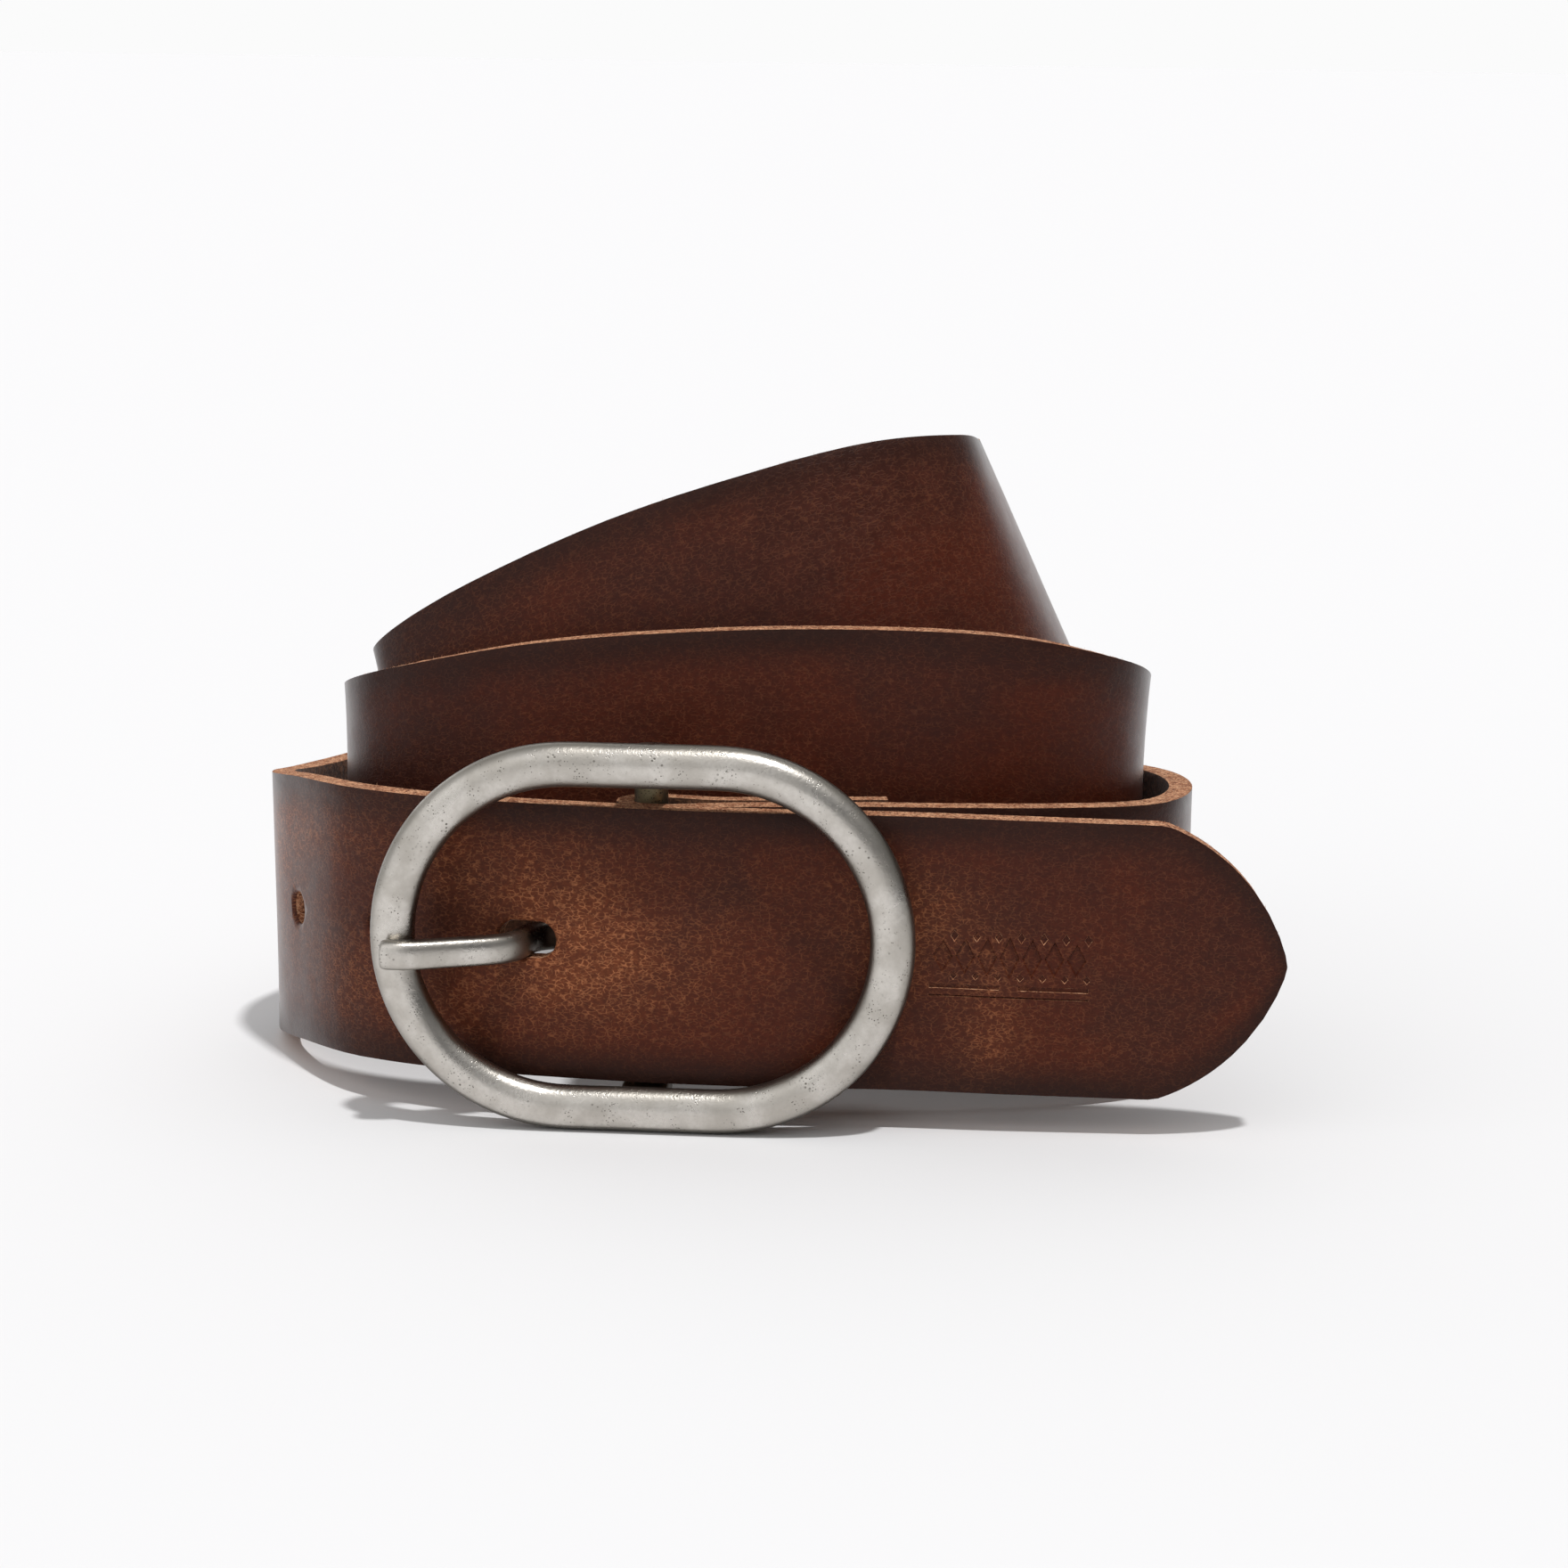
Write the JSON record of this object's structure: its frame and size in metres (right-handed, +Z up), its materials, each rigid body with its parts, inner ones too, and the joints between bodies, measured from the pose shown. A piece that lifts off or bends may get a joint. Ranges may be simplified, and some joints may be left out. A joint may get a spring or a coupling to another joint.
{
  "type": "belt",
  "caption": "Leather belt with a centre-bar oval buckle, buckled and coiled in stacked turns.",
  "frame": {"origin": "middle of the footprint of the fastened, coiled belt, on the surface that it stands on", "axes": "-Y out of the front of the buckle, +X towards the pointed tip, +Z up along the bar"},
  "size_m": [0.146, 0.1132, 0.0911],
  "materials": {
    "leather": "oiled pull-up full-grain leather, worn lighter along its creases, raw tan edges",
    "nickel": "satin antique nickel with fine dark pits",
    "bar_metal": "plain antique nickel",
    "stud_metal": "antique nickel"
  },
  "bodies": {
    "leather": {"strap": "leather", "stud_cap_inner": "stud_metal", "stud_cap_outer": "stud_metal", "stud_socket_inner": "stud_metal", "stud_socket_outer": "stud_metal", "stud_ball_inner": "stud_metal", "stud_ball_outer": "stud_metal", "stud_washer_inner": "stud_metal", "stud_washer_outer": "stud_metal"},
    "buckle": {"buckle_frame": "nickel", "centre_bar": "bar_metal"},
    "tongue": {"prong": "nickel"}
  },
  "joints": [
    {"name": "buckle_swing", "type": "hinge", "parent": "leather", "child": "buckle", "pos_m": [-0.01353, -0.03938, 0.0268], "axis": [0, 0, 1], "range_deg": [-2, 1]},
    {"name": "prong_swing", "type": "hinge", "parent": "buckle", "child": "tongue", "pos_m": [-0.01353, -0.03938, 0.0246], "axis": [0, 0, 1], "range_deg": [0, 1.5]}
  ]
}
